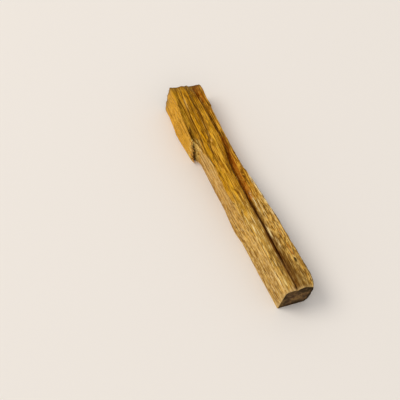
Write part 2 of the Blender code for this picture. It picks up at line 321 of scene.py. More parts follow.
PALE_STREAKS_AND_HIGHLIGHTS = (
    ([(-44.2, -2.4), (-40.5, -2.7), (-36.8, -2.8)], 0.40, 0.35),
    ([(-26.0, -0.3), (-20.4, -0.7)], 0.40, 0.35),
    # The next two are painted highlights, along the crest and along the strip's right shoulder
    ([(-23.5, -6.9), (-18.6, -6.1), (-14.3, -5.2), (-10.1, -4.7), (-6.2, -4.8), (-1.4, -4.8)],
     0.6, 0.35),
    ([(-4.3, 6.5), (0.3, 6.7), (5.4, 7.3), (11.8, 7.7), (17.5, 7.8)], 0.6, 1.0),
    ([(3.4, 3.5), (8.0, 3.5), (14.0, 3.4)], 0.5, 0.9),
    ([(7.5, 4.9), (17.7, 4.7)], 0.4, 0.9),
    ([(16.8, 7.6), (23.1, 7.4)], 0.5, 0.9),
    ([(18.7, 3.0), (26.2, 2.8)], 0.5, 0.9),
    ([(25.5, 4.0), (31.6, 3.9)], 0.5, 0.9),
    ([(14.2, -0.7), (19.1, -0.8)], 0.4, 0.8),
    ([(16.3, -1.9), (22.8, -2.0)], 0.45, 0.9),
    ([(34.6, -0.8), (40.1, -0.8)], 0.4, 0.8),
    ([(35.0, -1.7), (39.8, -1.7)], 0.4, 0.7),
    ([(37.6, -2.5), (48.0, -2.3)], 0.5, 1.0),
)

# A painted highlight along the crest, the upper edge of the flank behind the lath
CREST_HIGHLIGHT = (
    ([(-22.5, -7.2), (-15.0, -6.4), (-9.0, -5.8), (0.0, -5.6), (7.0, -5.4)], 0.9, 1.0),
)

# The near end of the body's top is bare and pale where its edge is worn
WORN_SPOTS = (
    ([(46.4, -0.2), (51.5, 0.0)], 2.0, 1.0),
)

# All of these run out over a taper too. They and the cracks lie above this height only
STAIN_TAPER = 1.6
TOP_Z = 6.0

# A small dead knot on the strip: where it is, half its length and width, how deep its hole is,
# how steeply that goes down, and how far the wood round it stands up
KNOT = (37.6, 6.3)
KNOT_REACH = (1.35, 0.62)
KNOT_DEPTH = 0.6
KNOT_STEEP = 2.2
KNOT_RIM = 0.1

# That rim of wood: how far out it lies and how wide it is, counted in the knot's own half width,
# and its share beside the knot and at the least. It shows most on the knot's outer side
RIM_AT = 1.4
RIM_WIDTH = 0.32
RIM_BESIDE = 0.5
RIM_LEAST = 0.2

# How far in from the saw cuts the sides are worn, take another colour, and have a calm relief,
# and over what distance in from its outline a cut takes painted shade
WORN = 0.3
SAWN_EDGE = 0.75
CALM_EDGE = 2.5
SHADED_EDGE = 3.0

# The groove is painted dark, the wood's reddish brown with painted shade: by x, half the width of
# its bottom, then half the width seen from above of its sides and how dark they are, then of a
# fine line of painted shade where it is shallow and where that comes in
GROOVE_WIDTH_X = (-20.0, 10.0)
GROOVE_WIDTH = (1.1, 1.5)
GROOVE_RIM = 0.8
GROOVE_RIM_X = (-4.0, 3.0, 30.0, 40.0)
GROOVE_RIM_SHARE = (0.0, 1.0, 1.0, 0.7)
GROOVE_LINE = 0.42
GROOVE_LINE_X = (20.0, 36.0)

# The crest and the strip's shoulder are the points of a section that lie furthest this way
CREST_WAY = (-0.5, 0.85)
SHOULDER_WAY = (0.62, 0.78)

# The branch's own rounded outside, on the right: from where to where it comes in, and how many
# points of a section it takes to come in round the edge
OUTSIDE_FROM = -18.0
OUTSIDE_TO = 2.0
OUTSIDE_TURN = 10


def near_lines(lines, taper):
    """How strongly each vertex of the upper side lies on lines along the grain."""
    total = np.zeros(len(x))
    for points, half_width, strength in lines:
        xs, ys = zip(*points)
        near = np.clip(1.0 - np.abs(y - np.interp(x, xs, ys)) / half_width, 0.0, 1.0)
        ends = np.clip(np.minimum(x - xs[0], xs[-1] - x) / taper, 0.0, 1.0)
        total = np.maximum(total, strength * near ** 2 * (3.0 - 2.0 * near) * ends * (z > TOP_Z))
    return total


far_points, far_faces = cut_face(rings[0], far_cut)
near_points, near_faces = cut_face(rings[-1], near_cut)
verts = np.concatenate([rings.reshape(-1, 3), far_points, near_points])
last = (rows - 1) * columns
far_inner = rows * columns - columns
near_inner = far_inner + len(far_points)
faces = [(r * columns + c, r * columns + (c + 1) % columns,
          (r + 1) * columns + (c + 1) % columns, (r + 1) * columns + c)
         for r in range(rows - 1) for c in range(columns)]
faces += [[i if i < columns else i + far_inner for i in face] for face in far_faces]
faces += [[i + last if i < columns else i + near_inner for i in face][::-1] for face in near_faces]

# What each vertex is part of: the saw cuts' worn edges, the underside, the flank on the left up
# to the crest, the strip right of the groove, the groove and its fine line of painted shade, the
# branch's outside, the torn end of the lath with the painted shade in its gap, and the two bands
# along the saw cuts
x, y, z = verts.T
from_cut = np.minimum(rings[..., 0] - rings[0, :, 0], rings[-1, :, 0] - rings[..., 0])
rim = from_cut < WORN
crest = np.argmax(CREST_WAY[0] * rings[:, :POINTS_LEFT, 1]
                  + CREST_WAY[1] * rings[:, :POINTS_LEFT, 2], axis=1)
from_bottom = column - bottom[:, None]
groove_gap = np.linalg.norm(rings[..., 1:] - rings[np.arange(rows), bottom][:, None, 1:], axis=-1)
groove_width = np.interp(rings[..., 0], GROOVE_WIDTH_X, GROOVE_WIDTH)
off_groove = rings[..., 1] - rings[np.arange(rows), bottom, 1][:, None]
groove_rim = np.exp(-(off_groove / GROOVE_RIM) ** 4) * on_top
groove_rim = groove_rim * np.interp(rings[..., 0], GROOVE_RIM_X, GROOVE_RIM_SHARE)
groove_shade_line = np.exp(-(off_groove / GROOVE_LINE) ** 2) * on_top
gap_shade_width = np.interp(rings[..., 2], GAP_SHADE_HEIGHTS, GAP_SHADE_WIDTH)
outer = SHOULDER_WAY[0] * rings[..., 1] + SHOULDER_WAY[1] * rings[..., 2]
shoulder = np.argmax(np.where((from_bottom > 0) & on_top, outer, 0.0), axis=1)
outside = np.clip((column - shoulder[:, None]) / OUTSIDE_TURN, 0.0, 1.0)
outside = outside * np.clip((rings[..., 0] - OUTSIDE_FROM) / (OUTSIDE_TO - OUTSIDE_FROM), 0.0, 1.0)
parts = {
    "rim": rim,
    "under": column >= POINTS_LEFT + POINTS_RIGHT,
    "flank": column < crest[:, None],
    "strip": (from_bottom > 0) & (column < POINTS_LEFT + POINTS_RIGHT),
    "groove": np.maximum(np.exp(-(groove_gap / groove_width) ** 2), groove_rim),
    "groove_shade_line": groove_shade_line * np.interp(rings[..., 0], GROOVE_LINE_X, (0.0, 1.0)),
    "outside": outside * (column < POINTS_LEFT + POINTS_RIGHT),
    "torn": torn,
    "gap": np.exp(-((rings[..., 0] - GAP_SHADE_AT[0]) / GAP_SHADE_LENGTH) ** 4
                  - ((rings[..., 1] - GAP_SHADE_AT[1]) / gap_shade_width) ** 4),
    "edge": np.exp(-(from_cut / SAWN_EDGE) ** 2),
    "calm": np.exp(-(from_cut / CALM_EDGE) ** 2),
}
inner_count = len(far_points) + len(near_points)
marks = {name: np.concatenate([np.broadcast_to(part, (rows, columns)).ravel().astype(float),
                               np.full(inner_count, float(name == "rim"))])
         for name, part in parts.items()}
on_grid = np.arange(len(x)) < rows * columns
marks["cut"] = 1.0 - on_grid
crack_depth = near_lines(CRACKS, CRACK_TAPER) * on_grid
marks["crack"] = np.minimum(crack_depth / DARK_DEPTH, 1.0)
for name, lines in (("olive", OLIVE_STAINS_AND_SHADE), ("red", RED_STAINS), ("brown", BROWN_STAINS_AND_SHADOW),
                    ("gold", GOLD_STAINS), ("pale", PALE_STREAKS_AND_HIGHLIGHTS), ("crest_highlight", CREST_HIGHLIGHT),
                    ("worn", WORN_SPOTS)):
    marks[name] = near_lines(lines, STAIN_TAPER) * on_grid

from_knot = np.hypot((x - KNOT[0]) / KNOT_REACH[0], (y - KNOT[1]) / KNOT_REACH[1])
from_knot = np.where((z > TOP_Z) & on_grid, from_knot, np.inf)
marks["knot"] = np.clip(KNOT_STEEP - KNOT_STEEP * from_knot, 0.0, 1.0)
rim_share = np.clip(RIM_BESIDE + (y - KNOT[1]) / KNOT_REACH[1], RIM_LEAST, 1.0)
marks["knot_rim"] = np.exp(-((from_knot - RIM_AT) / RIM_WIDTH) ** 2) * rim_share
marks["sunken"] = (crack_depth + KNOT_DEPTH * marks["knot"] - KNOT_RIM * marks["knot_rim"]) * MM

# How far inside a saw cut's outline each of its points lies, as a share of the edge band that
# takes painted shade
outlines = np.concatenate([rings[0], rings[-1]])
gaps = np.array([np.linalg.norm(outlines - p, axis=1).min() for p in verts[rows * columns:]])
marks["inside"] = np.concatenate([np.zeros(rows * columns), np.minimum(gaps / SHADED_EDGE, 1.0)])

mesh = bpy.data.meshes.new("palo_santo_stick_wood")
mesh.from_pydata((verts * MM).tolist(), [], faces)
for name, values in marks.items():
    mesh.attributes.new(name, "FLOAT", "POINT").data.foreach_set("value", values.astype(np.float32))
sawn = mesh.attributes.new("sawn", "FLOAT", "FACE")
sawn.data.foreach_set("value", [float(i >= (rows - 1) * columns) for i in range(len(faces))])
mesh.shade_smooth()
stick = bpy.data.objects.new("palo_santo_stick_wood", mesh)
bpy.context.scene.collection.objects.link(stick)


def node(tree, kind, inputs=(), out=0, **settings):
    """Adds a node with its settings, and gives its inputs plain values or links to sockets."""
    new = tree.nodes.new(kind)
    for name, value in settings.items():
        setattr(new, name, value)
    for key, value in dict(inputs).items():
        if isinstance(value, bpy.types.NodeSocket):
            tree.links.new(value, new.inputs[key])
        else:
            new.inputs[key].default_value = value
    return new.outputs[out]


def colour(code):
    """An sRGB hex colour as linear red, green, blue and alpha."""
    parts = [int(code[i:i + 2], 16) / 255 for i in (0, 2, 4)]
    return (*(p / 12.92 if p <= 0.04045 else ((p + 0.055) / 1.055) ** 2.4 for p in parts), 1.0)


# The grain isn't quite straight: how close its bends lie, in 1/m, and how far it sways, in metres
SWAY_SCALE = 30.0
SWAY = (0.0, 0.0006, 0.0006)


def swaying(tree, place):
    """Places along the grain, shifted so that patterns on them bend as the fibres do."""
    bend = node(tree, "ShaderNodeTexNoise",
                {"Vector": place, "Scale": SWAY_SCALE, "Detail": 0.0}, out=1)
    return node(tree, "ShaderNodeVectorMath", {0: bend, 1: SWAY, 2: place}, operation="MULTIPLY_ADD")


def grain(tree, place, along, across, seed, detail):
    """A pattern drawn out along the grain, 0 to 1: its length and width are given in metres."""
    size = node(tree, "ShaderNodeCombineXYZ", {0: along, 1: across, 2: across})
    scaled = node(tree, "ShaderNodeVectorMath", {0: place, 1: size}, operation="DIVIDE")
    return node(tree, "ShaderNodeTexNoise", {"Vector": scaled, "W": seed, "Scale": 1.0,
                                             "Detail": detail, "Roughness": 0.55}, noise_dimensions="4D")


# Patterns along the grain: length and width in millimetres, and how many finer ones lie on them.
# The real fibres are under 0.1 mm wide: these are as coarse as they need to be to show
GRAIN = {
    "bands": (40.0, 2.2, 1.0),
    "lines": (28.0, 0.55, 1.0),
    "threads": (10.0, 0.38, 1.0),
    "dashes": (3.0, 0.34, 0.0),
    "fibres": (6.0, 0.2, 2.0),
    "patches": (9.0, 3.2, 1.0),
    "pores": (1.9, 0.5, 0.0),
}

# A streak is a thread that dashes break up: how much of it they are
DASH_SHARE = 0.38

# Shades laid over one another: sRGB colour, its pattern and the levels between which it comes
# in, where it is, and its share there. "even" is everywhere the same
WOOD_BASE = "A66800"
WOOD_SHADES = (
    ("C68A02", "bands", 0.40, 0.60, "all", 1.0),
    ("C49C4E", "even", 0.0, 1.0, "near", 0.8),
    ("E8AC20", "bands", 0.30, 0.62, "gold", 0.9),
    ("E6A830", "even", 0.0, 1.0, "lath flank", 0.85),
    ("D4A450", "even", 0.0, 1.0, "body flank", 0.85),
    ("A88854", "even", 0.0, 1.0, "near flank", 0.6),
    ("B4700C", "patches", 0.35, 0.65, "strip", 0.6),
    ("F2BC48", "streaks", 0.51, 0.58, "far strip", 0.85),
    ("4E2C04", "streaks", 0.47, 0.40, "far strip", 0.85),
    # Olive stains, with painted shade on the facet beside the crest
    ("664804", "patches", 0.20, 0.50, "olive", 0.9),
    ("6E4000", "lines", 0.53, 0.63, "all", 0.55),
    ("F0B430", "lines", 0.46, 0.36, "all", 0.4),
    ("F4C85C", "streaks", 0.50, 0.60, "gold", 0.7),
    ("E8A818", "streaks", 0.54, 0.62, "far top", 0.65),
    ("643A00", "streaks", 0.49, 0.41, "far top", 0.65),
    ("F2D078", "streaks", 0.52, 0.60, "near", 0.7),
    ("66420E", "streaks", 0.48, 0.40, "near top", 0.65),
    ("FFE69C", "streaks", 0.55, 0.61, "near top", 0.9),
    ("4E300A", "streaks", 0.44, 0.38, "near top", 0.55),
    ("DCB25C", "even", 0.0, 1.0, "near top", 0.22),
    ("F0B840", "fibres", 0.52, 0.62, "all", 0.45),
    ("5E3A06", "fibres", 0.48, 0.38, "all", 0.5),
    ("D49E36", "even", 0.0, 1.0, "lath flank", 0.3),
    ("8A5C18", "pores", 0.60, 0.70, "lath flank", 0.25),
    ("E8B858", "lines", 0.47, 0.36, "lath flank", 0.3),
    ("AC7620", "lines", 0.54, 0.66, "lath flank", 0.45),
    ("8A6228", "lines", 0.52, 0.66, "body flank", 0.5),
    ("F0CC88", "lines", 0.47, 0.36, "body flank", 0.4),
    ("8A6228", "pores", 0.56, 0.68, "body flank", 0.5),
    ("F0D090", "pores", 0.44, 0.32, "body flank", 0.45),
    ("C08828", "even", 0.0, 1.0, "near strip", 0.25),
    ("FAD070", "pores", 0.55, 0.65, "near strip", 0.6),
    ("52300A", "pores", 0.45, 0.35, "near strip", 0.5),
    # Brown stains, and a painted shadow on the strip
    ("6E4A18", "even", 0.0, 1.0, "brown", 0.72),
    ("5C3C12", "streaks", 0.62, 0.44, "brown", 0.8),
    # The groove's reddish brown with painted shade, and a painted shade line where it is shallow
    ("642C02", "even", 0.0, 1.0, "groove", 0.88),
    ("4E2402", "streaks", 0.60, 0.44, "groove", 0.7),
    ("4C2A08", "even", 0.0, 1.0, "groove_shade_line", 0.75),
    ("BC640E", "lines", 0.20, 0.60, "red", 0.7),
    # Painted shade in hollows, and a painted highlight where a point stands above its neighbours
    ("3A1C00", "hollow", 0.25, 1.6, "all", 0.65),
    ("F4C860", "hollow", -0.3, -1.2, "all", 0.35),
    # Painted shade in the cracks
    ("502C00", "patches", 0.15, 0.50, "crack", 0.85),
    # Pale streaks, and painted highlights along the crest and the strip's right shoulder
    ("FFE8A8", "streaks", 0.42, 0.58, "pale", 0.95),
    # A painted highlight along the crest
    ("F0CC80", "streaks", 0.42, 0.56, "crest_highlight", 0.3),
    ("A87C48", "even", 0.0, 1.0, "mid flank", 0.25),
    ("845E28", "streaks", 0.48, 0.40, "mid flank", 0.35),
    ("F2CE86", "streaks", 0.53, 0.61, "mid flank", 0.35),
    ("8A6C38", "patches", 0.20, 0.55, "far cut", 0.6),
    ("E2BE7A", "patches", 0.20, 0.60, "near edge", 0.6),
    ("4A3008", "patches", 0.10, 0.50, "far edge", 0.55),
    ("D4B080", "dashes", 0.35, 0.60, "worn", 0.7),
    ("F0D080", "even", 0.0, 1.0, "knot_rim", 0.62),
    ("46340E", "even", 0.0, 1.0, "knot", 0.85),
    ("F8D474", "threads", 0.46, 0.56, "torn", 0.7),
    # Painted shade on the lath's broken face, with pale and dark threads
    ("9A6A20", "even", 0.0, 1.0, "broken", 0.7),
    ("ECC468", "threads", 0.50, 0.58, "broken", 0.7),
    ("4E2E08", "threads", 0.50, 0.42, "broken", 0.7),
    # Painted shade in the gap at the break
    ("341E08", "even", 0.0, 1.0, "gap", 0.9),
    ("4C3C26", "patches", 0.30, 0.60, "outside", 0.9),
    ("2E2414", "lines", 0.50, 0.60, "outside", 0.7),
)

# The saw cuts show the ends of the fibres: dull and dark in patches, with the branch's yearly
# rings round its pith, which lay to the left. They are olive on the left and a little darker
# towards their top, with painted shade along the foot and along the rounded outside's edge
END_BASE = "66503C"
END_SHADES = (
    ("6E5432", "rings", 0.35, 0.65, "all", 0.6),
    ("8C6E40", "clouds", 0.46, 0.62, "all", 0.65),
    ("302810", "clouds", 0.54, 0.36, "all", 0.75),
    ("4A2E24", "speckle", 0.46, 0.66, "all", 0.7),
    ("3C300C", "even", 0.0, 1.0, "left", 0.55),
    # Painted shade along the edge of the rounded outside
    ("1A1408", "inside", 0.50, 0.04, "right", 0.9),
    ("1E1508", "even", 0.0, 1.0, "high", 0.4),
    # Painted shade along the foot
    ("1E1608", "even", 0.0, 1.0, "low", 0.7),
)
PITH = (0.0, -7.0 * MM, 2.0 * MM)
RING_SPACING = 1.1 * MM

# How close the patches and the open pores on the cuts lie, in 1/m. The real pores are finer
END_SCALES = {"clouds": 400.0, "speckle": 1300.0}

# Where a shade may come in besides a mark: along which axis, and from where to where in
# millimetres. Then what is one place less another, where 1.0 is everywhere
ZONES = (
    ("near", 0, -2.0, 22.0), ("near end", 0, 8.0, 44.0), ("beyond the lath", 0, -24.0, -16.0),
    ("right", 1, 0.0, 6.0), ("left", 1, -1.0, -6.0), ("low", 2, 2.4, 0.2), ("high", 2, 5.5, 11.0),
)
ZONES_LESS = (
    ("top", 1.0, "flank"), ("far", 1.0, "near"), ("far top", "top", "near"),
    ("near top", "top", "far"), ("lath flank", "flank", "beyond the lath"),
    ("body flank", "flank", "lath flank"), ("near flank", "near end", "top"),
    ("near strip", "strip", "far"), ("mid flank", "body flank", "near"),
    ("far cut", "calm", "near"), ("near edge", "edge", "far"), ("far edge", "edge", "near"),
    ("far strip", "strip", "near"),
)

# Oil makes some of the threads glossier than the dry wood between them: between which levels of
# their pattern, and from what roughness to what. The finest fibres are a bump of this strength
# and depth
GLOSSY_FROM, GLOSSY_TO = 0.50, 0.64
DRY_ROUGHNESS, OILY_ROUGHNESS = 0.62, 0.36
BUMP_STRENGTH = 0.6
BUMP_DEPTH = 0.06 * MM


def laid_over(tree, tone, shades, pattern, where):
    """Lays shades over a tone, each by its pattern's level and by where it belongs."""
    for code, name, low, high, place_name, share in shades:
        level = node(tree, "ShaderNodeMapRange", {0: pattern[name], 1: low, 2: high, 3: 0.0, 4: share},
                     interpolation_type="SMOOTHSTEP")
        level = node(tree, "ShaderNodeMath", {0: level, 1: where[place_name]}, operation="MULTIPLY",
                     use_clamp=True)
        tone = node(tree, "ShaderNodeMix", {0: level, 6: tone, 7: colour(code)}, out=2, data_type="RGBA")
    return tone


# Palo santo heartwood, split and dry: golden brown with amber bands, half matt with an oily
# gloss in spots, deep reddish brown in the grooves. Painted shade lies in the grooves, cracks,
# hollows, the lath's break and its gap, and in one band on the strip; painted highlights lie
# along the crest, the strip's right shoulder and what stands above its neighbours
wood = bpy.data.materials.new("palo_santo_split")
wood.use_nodes = True
tree = wood.node_tree
surface = tree.nodes["Principled BSDF"]
place = node(tree, "ShaderNodeTexCoord", out=3)
swayed = swaying(tree, place)
where = {name: node(tree, "ShaderNodeAttribute", out=2, attribute_name=name)
         for name in [*marks, "hollow", "broken", "sawn"]}
axes = node(tree, "ShaderNodeSeparateXYZ", {0: place}).node.outputs
for name, axis, low, high in ZONES:
    where[name] = node(tree, "ShaderNodeMapRange", {0: axes[axis], 1: low * MM, 2: high * MM},
                       interpolation_type="SMOOTHSTEP")
where["all"] = 1.0
for name, whole, taken in ZONES_LESS:
    where[name] = node(tree, "ShaderNodeMath", {0: where.get(whole, whole), 1: where[taken]},
                       operation="SUBTRACT", use_clamp=True)

pattern = {"even": 1.0, "hollow": where["hollow"], "inside": where["inside"]}
for seed, (name, (along, across, detail)) in enumerate(GRAIN.items()):
    pattern[name] = grain(tree, swayed, along * MM, across * MM, float(seed), detail)
pattern["streaks"] = node(tree, "ShaderNodeMix",
                          {0: DASH_SHARE, 2: pattern["threads"], 3: pattern["dashes"]})
for name, scale in END_SCALES.items():
    pattern[name] = node(tree, "ShaderNodeTexNoise", {"Vector": place, "Scale": scale, "Detail": 2.0})
from_pith = node(tree, "ShaderNodeVectorMath", {0: place, 1: PITH}, operation="SUBTRACT")
from_pith = node(tree, "ShaderNodeVectorMath", {0: from_pith, 1: (0.0, 1.0, 1.0)}, operation="MULTIPLY")
radius = node(tree, "ShaderNodeVectorMath", {0: from_pith}, operation="LENGTH", out=1)
turns = node(tree, "ShaderNodeMath", {0: radius, 1: 2 * pi / RING_SPACING, 2: pattern["clouds"]},
             operation="MULTIPLY_ADD")
wave = node(tree, "ShaderNodeMath", {0: turns}, operation="SINE")
pattern["rings"] = node(tree, "ShaderNodeMath", {0: wave, 1: 0.5, 2: 0.5}, operation="MULTIPLY_ADD")

split_tone = laid_over(tree, colour(WOOD_BASE), WOOD_SHADES, pattern, where)
end_tone = laid_over(tree, colour(END_BASE), END_SHADES, pattern, where)
tone = node(tree, "ShaderNodeMix", {0: where["sawn"], 6: split_tone, 7: end_tone}, out=2,
            data_type="RGBA")
tree.links.new(tone, surface.inputs["Base Color"])

gloss = node(tree, "ShaderNodeMapRange", {0: pattern["threads"], 1: GLOSSY_FROM, 2: GLOSSY_TO,
                                          3: DRY_ROUGHNESS, 4: OILY_ROUGHNESS})
dull = node(tree, "ShaderNodeMath", {0: gloss, 1: where["sawn"]}, operation="MAXIMUM")
tree.links.new(dull, surface.inputs["Roughness"])
surface.inputs["IOR"].default_value = 1.5
surface.inputs["Specular IOR Level"].default_value = 0.15
surface.inputs["Specular Tint"].default_value = colour("FFC870")
fine = node(tree, "ShaderNodeMath", {0: pattern["fibres"], 1: pattern["threads"]}, operation="ADD")
bump = node(tree, "ShaderNodeBump",
            {"Height": fine, "Strength": BUMP_STRENGTH, "Distance": BUMP_DEPTH})
tree.links.new(bump, surface.inputs["Normal"])


# The relief that splitting leaves, in metres: ridges, the fibres themselves, steps where a layer
# tore off, fine cracks between bundles of fibres, a ripple across the grain, and the saw's marks
RELIEF = {
    "Ridge height": 0.75 * MM, "Ridge length": 36.0 * MM, "Ridge width": 0.95 * MM,
    "Fibre height": 0.34 * MM, "Fibre length": 13.0 * MM, "Fibre width": 0.42 * MM,
    "Step height": 0.15 * MM, "Step length": 20.0 * MM, "Step width": 1.6 * MM,
    "Split height": 0.2 * MM, "Split length": 24.0 * MM, "Split width": 1.2 * MM,
    "Ripple height": 0.03 * MM, "Ripple spacing": 1.4 * MM,
    "Saw mark height": 0.035 * MM, "Saw mark spacing": 0.8 * MM,
    "Tear height": 1.3 * MM, "Tear length": 50.0 * MM, "Tear width": 0.55 * MM,
    "Seed": 3.0,
}
RELIEF_DETAIL = {"Ridge": 2.0, "Fibre": 1.0, "Step": 1.0, "Split": 1.0, "Tear": 1.0}

# How each kind of relief follows its pattern: from which level to which, and the share of its
# height that it gives there. A split is a drop and a rise close together
PROFILES = (
    ("Ridge", 0.0, 1.0, -0.5, 0.5), ("Fibre", 0.0, 1.0, -0.5, 0.5),
    ("Step", 0.42, 0.45, -0.5, 0.5), ("Step", 0.53, 0.56, -0.5, 0.5),
    ("Split", 0.465, 0.50, 0.0, -1.0), ("Split", 0.50, 0.535, 0.0, 1.0),
)

# The share of the relief left at the underside, at the foot and the worn edges, and along the
# saw cuts, how far up from the floor it comes back, and where the ripple lies and how far it
# reaches, along the grain
UNDER_SHARE = 0.6
EDGE_SHARE = 0.3
CALM_SHARE = 0.1
FOOT_RISE = 2.2 * MM
RIPPLE_AT = 4.0 * MM
RIPPLE_REACH = 26.0 * MM

# The waves in it: the axis they follow, their slant, how uneven they are, and how close that
# unevenness lies, in 1/m
WAVES = (("Ripple", 0, 0.6, 1.6, 600.0), ("Saw mark", 2, 0.35, 0.3, 2500.0))

# A point lies in a hollow by how far below its neighbours it is, counted in this unit, among so
# many of them each way: the material paints shade in hollows and a highlight where a point stands
# up. A broken face looks this much along the grain, to begin with and wholly, and takes painted
# shade. Faces that meet more sharply than this show an edge
HOLLOW_UNIT = 0.1 * MM
HOLLOW_REACH = 9
BROKEN_FACING = (0.2, 0.5)
SHARP_ANGLE = radians(55)


def new_tree(name, values):
    """A Geometry Nodes tree with a geometry in and out and named numbers, and its inputs."""
    tree = bpy.data.node_groups.new(name, "GeometryNodeTree")
    tree.interface.new_socket("Geometry", in_out="INPUT", socket_type="NodeSocketGeometry")
    for label, value in values.items():
        socket = tree.interface.new_socket(label, in_out="INPUT", socket_type="NodeSocketFloat")
        socket.default_value = value
    tree.interface.new_socket("Geometry", in_out="OUTPUT", socket_type="NodeSocketGeometry")
    return tree, tree.nodes.new("NodeGroupInput").outputs


def end_tree(tree, made, material):
    """Ends a tree: everything it made becomes plain mesh, in one material."""
    real = node(tree, "GeometryNodeRealizeInstances", {"Geometry": made})
    clad = node(tree, "GeometryNodeSetMaterial", {"Geometry": real, "Material": material})
    tree.links.new(clad, tree.nodes.new("NodeGroupOutput").inputs[0])


def baked(piece, tree, values):
    """The plain mesh that a tree makes of a piece, with its named inputs set."""
    modifier = piece.modifiers.new(tree.name, "NODES")
    modifier.node_group = tree
    for socket in tree.interface.items_tree:
        if socket.name in values and socket.in_out == "INPUT":
            modifier[socket.identifier] = values[socket.name]
    depsgraph = bpy.context.evaluated_depsgraph_get()
    made = bpy.data.meshes.new_from_object(piece.evaluated_get(depsgraph), depsgraph=depsgraph,
                                           preserve_all_data_layers=True)
    piece.modifiers.remove(modifier)
    return made


relief, given = new_tree("grain_relief", RELIEF)
place = node(relief, "GeometryNodeInputPosition")
facing = node(relief, "GeometryNodeInputNormal")
mark = {name: node(relief, "GeometryNodeInputNamedAttribute", {"Name": name}, data_type="FLOAT")
        for name in marks}
swayed = swaying(relief, place)
axes = node(relief, "ShaderNodeSeparateXYZ", {0: swayed}).node.outputs
lie = {}
for k, (name, detail) in enumerate(RELIEF_DETAIL.items()):
    seed = node(relief, "ShaderNodeMath", {0: given["Seed"], 1: float(k)}, operation="ADD")
    lie[name] = grain(relief, swayed, given[name + " length"], given[name + " width"], seed, detail)
split = 0.0
for name, low, high, start, end in PROFILES:
    level = node(relief, "ShaderNodeMapRange", {0: lie[name], 1: low, 2: high, 3: start, 4: end})
    split = node(relief, "ShaderNodeMath", {0: level, 1: given[name + " height"], 2: split},
                 operation="MULTIPLY_ADD")

# The ripple crosses the grain at a slant at mid length, and the saw's marks are straight lines
# down its cuts. Both are a little uneven
waves = {}
for name, axis, slant, unevenness, scale in WAVES:
    run = node(relief, "ShaderNodeMath", {0: axes[1], 1: slant, 2: axes[axis]},
               operation="MULTIPLY_ADD")
    run = node(relief, "ShaderNodeMath", {0: run, 1: given[name + " spacing"]}, operation="DIVIDE")
    uneven = node(relief, "ShaderNodeTexNoise", {"Vector": place, "Scale": scale, "Detail": 1.0})
    run = node(relief, "ShaderNodeMath", {0: uneven, 1: unevenness, 2: run}, operation="MULTIPLY_ADD")
    run = node(relief, "ShaderNodeMath", {0: run, 1: 2 * pi}, operation="MULTIPLY")
    wave = node(relief, "ShaderNodeMath", {0: run}, operation="SINE")
    waves[name] = node(relief, "ShaderNodeMath", {0: wave, 1: given[name + " height"]},
                       operation="MULTIPLY")
off = node(relief, "ShaderNodeMath", {0: axes[0], 1: RIPPLE_AT}, operation="SUBTRACT")
off = node(relief, "ShaderNodeMath", {0: off, 1: RIPPLE_REACH}, operation="DIVIDE")
off = node(relief, "ShaderNodeMath", {0: off, 1: 2.0}, operation="POWER")
rippled = node(relief, "ShaderNodeMath", {0: 1.0, 1: off}, operation="SUBTRACT", use_clamp=True)
split = node(relief, "ShaderNodeMath", {0: waves["Ripple"], 1: rippled, 2: split},
             operation="MULTIPLY_ADD")

# The relief is low along the foot, the saw cuts and their worn edges. Underneath it only goes
# inwards, so that the stick lies flat
height_up = node(relief, "ShaderNodeSeparateXYZ", {0: place}, out=2)
by_foot = node(relief, "ShaderNodeMapRange",
               {0: height_up, 1: 0.0, 2: FOOT_RISE, 3: EDGE_SHARE, 4: 1.0})
by_cut = node(relief, "ShaderNodeMapRange", {0: mark["calm"], 1: 0.0, 2: 1.0, 3: 1.0, 4: CALM_SHARE})
calmed = node(relief, "ShaderNodeMath", {0: by_foot, 1: by_cut}, operation="MULTIPLY")
split = node(relief, "ShaderNodeMath", {0: split, 1: calmed}, operation="MULTIPLY")
hidden = node(relief, "ShaderNodeMath", {0: split}, operation="ABSOLUTE")
hidden = node(relief, "ShaderNodeMath", {0: hidden, 1: -UNDER_SHARE}, operation="MULTIPLY")
height = node(relief, "ShaderNodeMix", {0: mark["under"], 2: split, 3: hidden})
height = node(relief, "ShaderNodeMath", {0: height, 1: mark["sunken"]}, operation="SUBTRACT")
on_rim = node(relief, "ShaderNodeMath", {0: height, 1: EDGE_SHARE}, operation="MULTIPLY")
height = node(relief, "ShaderNodeMix", {0: mark["rim"], 2: height, 3: on_rim})
height = node(relief, "ShaderNodeMix", {0: mark["cut"], 2: height, 3: waves["Saw mark"]})

# The worn edge of a saw cut stays in its plane
in_plane = node(relief, "ShaderNodeVectorMath", {0: facing, 1: (0.0, 1.0, 1.0)},
                operation="MULTIPLY")
on_edge = node(relief, "ShaderNodeMath", {0: mark["rim"], 1: mark["cut"]}, operation="SUBTRACT")
facing = node(relief, "ShaderNodeMix", {0: on_edge, 4: facing, 5: in_plane}, out=1,
              data_type="VECTOR")
moved = node(relief, "ShaderNodeVectorMath", {0: facing, "Scale": height}, operation="SCALE")
moved = node(relief, "ShaderNodeVectorMath", {0: place, 1: moved}, operation="ADD")

# The lath's break is jagged along the grain, and nothing goes below the floor
jag = node(relief, "ShaderNodeMath", {0: lie["Tear"], 1: 0.5}, operation="SUBTRACT")
jag = node(relief, "ShaderNodeMath", {0: jag, 1: given["Tear height"]}, operation="MULTIPLY")
jag = node(relief, "ShaderNodeMath", {0: jag, 1: mark["torn"]}, operation="MULTIPLY")
jag = node(relief, "ShaderNodeCombineXYZ", {0: jag})
moved = node(relief, "ShaderNodeVectorMath", {0: moved, 1: jag}, operation="ADD")
moved = node(relief, "ShaderNodeVectorMath", {0: moved, 1: (-1.0, -1.0, 0.0)}, operation="MAXIMUM")
carved = node(relief, "GeometryNodeSetPosition", {"Geometry": given["Geometry"], "Position": moved})

